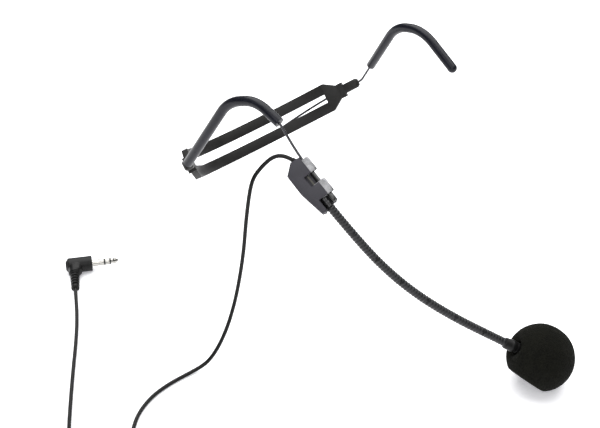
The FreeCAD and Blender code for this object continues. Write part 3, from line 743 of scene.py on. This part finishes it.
# %% Foam shape
FOAM_R, FOAM_CENTRE, BORE_R, CRATER_R, CRATER_DEEP = 15.9, 17.0, 3.45, 7.4, 4.2
PORE_SIZE, PORE_DEEP, LUMP_SIZE, LUMP_DEEP = 0.75, 0.28, 7.5, 0.15
bpy.ops.object.select_all(action="DESELECT")
bpy.ops.mesh.primitive_uv_sphere_add(segments=224, ring_count=132, radius=FOAM_R * MM)
foam = bpy.context.object
foam.name = "foam_ball"
centre = CAPSULE_START + CAPSULE_AXIS * FOAM_CENTRE * MM
to_centre = upright_at(centre, CAPSULE_AXIS)
floor_down = to_centre.to_3x3().inverted() @ Vector((0, 0, -1))
floor_reach = centre.z - SURFACE
side_out = to_centre.to_3x3().inverted() @ Vector((-0.712, 0.072, -0.698)).normalized()
SIDE_REACH, SIDE_SOFT = 12.2 * MM, 0.9 * MM
SKIN_R = FOAM_R - 0.1
REST_GAP = 0.05 * MM
presses = [(side_out, SIDE_REACH, SIDE_SOFT), (floor_down, floor_reach - REST_GAP, 0.0)]
for vertex in foam.data.vertices:
    out = vertex.co.normalized()
    across = math.hypot(vertex.co.x, vertex.co.y) / MM
    lumps = noise.noise(out * FOAM_R / LUMP_SIZE) * LUMP_DEEP
    pores = abs(noise.noise(out * FOAM_R / PORE_SIZE)) * PORE_DEEP
    vertex.co = out * (SKIN_R + lumps - pores) * MM
    if out.z < 0 and across < CRATER_R:
        dip = 0.5 + 0.5 * math.cos(math.pi * across / CRATER_R)
        vertex.co.z += CRATER_DEEP * dip * MM
    for outward, reach, soften in presses:
        beyond = vertex.co.dot(outward) - reach
        if beyond > 0:
            vertex.co -= outward * beyond * beyond / (beyond + soften)
print("foam ball", len(foam.data.polygons), "faces, flattened below", round(floor_reach / MM, 2))


# %% Bore of the foam
bore = lathe("bore", [(-24.0, BORE_R), (-0.6, BORE_R)])
boolean_cut(foam, bore)

# %% Foam finish
open_foam = finish_of("open_foam", dark=(0.0022, 0.0023, 0.0014), light=(0.0068, 0.0069, 0.0045),
                      rough=(0.9, 1.0), grain=1500, relief=0.5, specular=0.12, mottle=300)
tree = open_foam.node_tree
pores = tree.nodes.new("ShaderNodeTexVoronoi")
pores.inputs["Scale"].default_value = 1500.0
hollow = tree.nodes.new("ShaderNodeBump")
hollow.inputs["Strength"].default_value = 0.8
hollow.inputs["Distance"].default_value = 0.35 * MM
tree.links.new(tree.nodes["Mapping"].outputs["Vector"], pores.inputs["Vector"])
tree.links.new(pores.outputs["Distance"], hollow.inputs["Height"])
tree.links.new(tree.nodes["Bump"].outputs["Normal"], hollow.inputs["Normal"])
tree.links.new(hollow.outputs["Normal"], tree.nodes["Principled BSDF"].inputs["Normal"])
place(foam, to_centre, "windscreen", open_foam, ["foam_windscreen"], smooth=180.0)

# %% [markdown]
# ## The jack plug
# The right-angle moulding is one soft form: a fat barrel, a neck and a web between them. Three lathe
# parts are joined, remeshed to one skin and smoothed, which leaves the natural fillet of a moulding.
# The ribbed boot and the pin's contacts are turned on their own, because they stay crisp.

# %% Plug moulding
HEAD_R, HEAD_END, HEAD_BACK = 4.15, 9.55, -4.55
NECK_R, NECK_END = 2.7, 8.2
pin_turn = Matrix.Rotation(math.radians(-90), 4, "X")
lead_turn = Matrix.Rotation(math.radians(90), 4, "Y")
head = lathe("plug_moulding", [(HEAD_BACK, 2.3), (HEAD_BACK + 1.5, HEAD_R - 0.1), (HEAD_BACK + 1.8, HEAD_R),
                               (HEAD_END - 0.25, HEAD_R), (HEAD_END, HEAD_R - 0.2)])
head.data.transform(pin_turn)
neck = lathe("plug_neck", [(0.0, 3.4), (NECK_END - 0.2, NECK_R + 0.35), (NECK_END, NECK_R + 0.2)])
neck.data.transform(lead_turn)
web = lathe("plug_web", [(0.0, 3.9), (6.6, 2.9)])
web.data.transform(Matrix.Translation((0, 1.1 * MM, 0)) @ lead_turn)
pick_only(head, neck, web)
bpy.ops.object.join()
skin = head.modifiers.new("skin", "REMESH")
skin.mode = "VOXEL"
skin.voxel_size = 0.16 * MM
soften = head.modifiers.new("soften", "SMOOTH")
soften.factor = 0.5
soften.iterations = 14
apply_all(head)
place(head, PLUG, "headframe", moulded_black, ["jack_body"], smooth=180.0)
print("plug moulding", len(head.data.polygons), "faces")

# %% Ribbed boot and pin
BOOT_START, BOOT_LENGTH, RIBS = 8.2, 13.0, 5
boot_profile = [(0.0, 2.0), (0.05, 2.5), (0.9, 2.45)]
rib_pitch = (BOOT_LENGTH - 1.4) / RIBS
for k in range(RIBS):
    z0, r0 = 1.1 + k * rib_pitch, 2.42 - 0.07 * k
    boot_profile += [(z0, r0 - 0.55), (z0 + 0.75, r0 - 0.55), (z0 + 0.95, r0 - 0.05), (z0 + 1.15, r0),
                     (z0 + rib_pitch - 0.2, r0)]
boot_profile += [(BOOT_LENGTH - 0.1, 2.05), (BOOT_LENGTH, 1.9)]
plug_boot = lathe("plug_boot", boot_profile)
plug_boot.data.transform(Matrix.Translation((BOOT_START * MM, 0, 0)) @ lead_turn)
place(plug_boot, PLUG, "headframe", moulded_black, ["jack_boot"], smooth=35.0)

PIN_FACE, PIN_R = 9.6, 1.75
pin_parts = {
    "pin_sleeve": ("jack_sleeve", nickel, "plug_plating",
                   [(0.0, PIN_R), (6.1, PIN_R), (6.2, PIN_R - 0.08)]),
    "pin_ring_rear": ("jack_insulator_rear", insulator_gloss, "insulator",
                      [(6.2, 1.6), (6.3, 1.72), (6.9, 1.72), (7.0, 1.6)]),
    "pin_middle": ("jack_ring", nickel, "plug_plating",
                   [(7.0, PIN_R - 0.08), (7.1, PIN_R), (9.1, PIN_R), (9.2, PIN_R - 0.08)]),
    "pin_ring_front": ("jack_insulator_front", insulator_gloss, "insulator",
                       [(9.2, 1.6), (9.3, 1.72), (9.9, 1.72), (10.0, 1.5)]),
    "pin_tip": ("jack_tip", nickel, "plug_plating",
                [(10.0, 1.5), (10.25, 1.42), (10.7, 1.2), (11.0, 1.15), (11.3, 1.3), (11.6, 1.58),
                 (11.85, 1.7), (12.2, 1.62), (13.3, 0.95), (13.8, 0.55), (14.0, 0.2)])}
for name, (node, material, slot, profile) in pin_parts.items():
    contact = lathe(name, profile, sides=64)
    contact.data.transform(Matrix.Translation((0, PIN_FACE * MM, 0)) @ pin_turn)
    place(contact, PLUG, "headframe", material, [node], smooth=30.0)

# %% [markdown]
# ## The tie and the finished lead
# The put-away coil is held by a plastic-covered wire tie, passed round the turns and twisted on top. The
# lead is one piece from holder to plug.

# %% Cable tie
tie = copy_of("cable_tie", "coil_tie")
break_edges(tie, 0.18, steps=2)
place(tie, AS_IT_IS, "headframe", tie_plastic, ["cable_tie"])

lead.data.materials.append(lead_jacket)
pick_only(lead)
bpy.ops.object.shade_smooth()
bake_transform(lead)
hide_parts("cable_run", "cable_coil", "cable_tail")

# %% [markdown]
# ## Floor and light
# The surface is plain and almost white, and gives off a little light of its own, which keeps its shadows
# faint. One large soft light hangs above and behind, which draws long highlights on the tubes and lays
# a shadow under the foam. A weaker one fills from the front. The sky is bright overhead and dark low
# down, so that round parts and metal show dark edges.

# %% Floor
bpy.ops.object.select_all(action="DESELECT")
bpy.ops.mesh.primitive_plane_add(size=30.0, location=(0, 0, SURFACE - 0.0002))
floor = bpy.context.object
floor.name = "floor"
paper = bpy.data.materials.new("paper")
paper.use_nodes = True
paper_shader = paper.node_tree.nodes["Principled BSDF"]
paper_shader.inputs["Base Color"].default_value = (0.93, 0.93, 0.935, 1)
paper_shader.inputs["Roughness"].default_value = 0.9
paper_shader.inputs["Specular IOR Level"].default_value = 0.1
paper_shader.inputs["Emission Color"].default_value = (0.95, 0.95, 1.0, 1)
paper_shader.inputs["Emission Strength"].default_value = 0.32
floor.data.materials.append(paper)


# %% Lights
def soft_light(name, place_at, aim_at, width, power):
    bpy.ops.object.select_all(action="DESELECT")
    bpy.ops.object.light_add(type="AREA", location=place_at)
    made = bpy.context.object
    made.name = name
    made.data.shape = "SQUARE"
    made.data.size = width
    made.data.energy = power
    made.rotation_euler = (Vector(aim_at) - Vector(place_at)).to_track_quat("-Z", "Y").to_euler()
    return made


soft_light("overhead", (0.3, 0.2, 1.15), (-0.04, -0.05, -0.03), 1.9, 34.0)
soft_light("front_fill", (-0.9, -0.6, 0.7), (-0.04, -0.05, -0.03), 0.9, 6.0)
world = bpy.data.worlds.new("studio")
bpy.context.scene.world = world
world.use_nodes = True
sky = world.node_tree
ray = sky.nodes.new("ShaderNodeTexCoord")
height = sky.nodes.new("ShaderNodeSeparateXYZ")
shade = sky.nodes.new("ShaderNodeValToRGB")
shade.color_ramp.elements[0].position, shade.color_ramp.elements[1].position = 0.25, 0.8
shade.color_ramp.elements[0].color = (0.04, 0.04, 0.042, 1)
shade.color_ramp.elements[1].color = (1, 1, 1, 1)
sky.links.new(ray.outputs["Generated"], height.inputs["Vector"])
sky.links.new(height.outputs["Z"], shade.inputs["Fac"])
sky.links.new(shade.outputs["Color"], sky.nodes["Background"].inputs["Color"])
sky.nodes["Background"].inputs["Strength"].default_value = 0.6
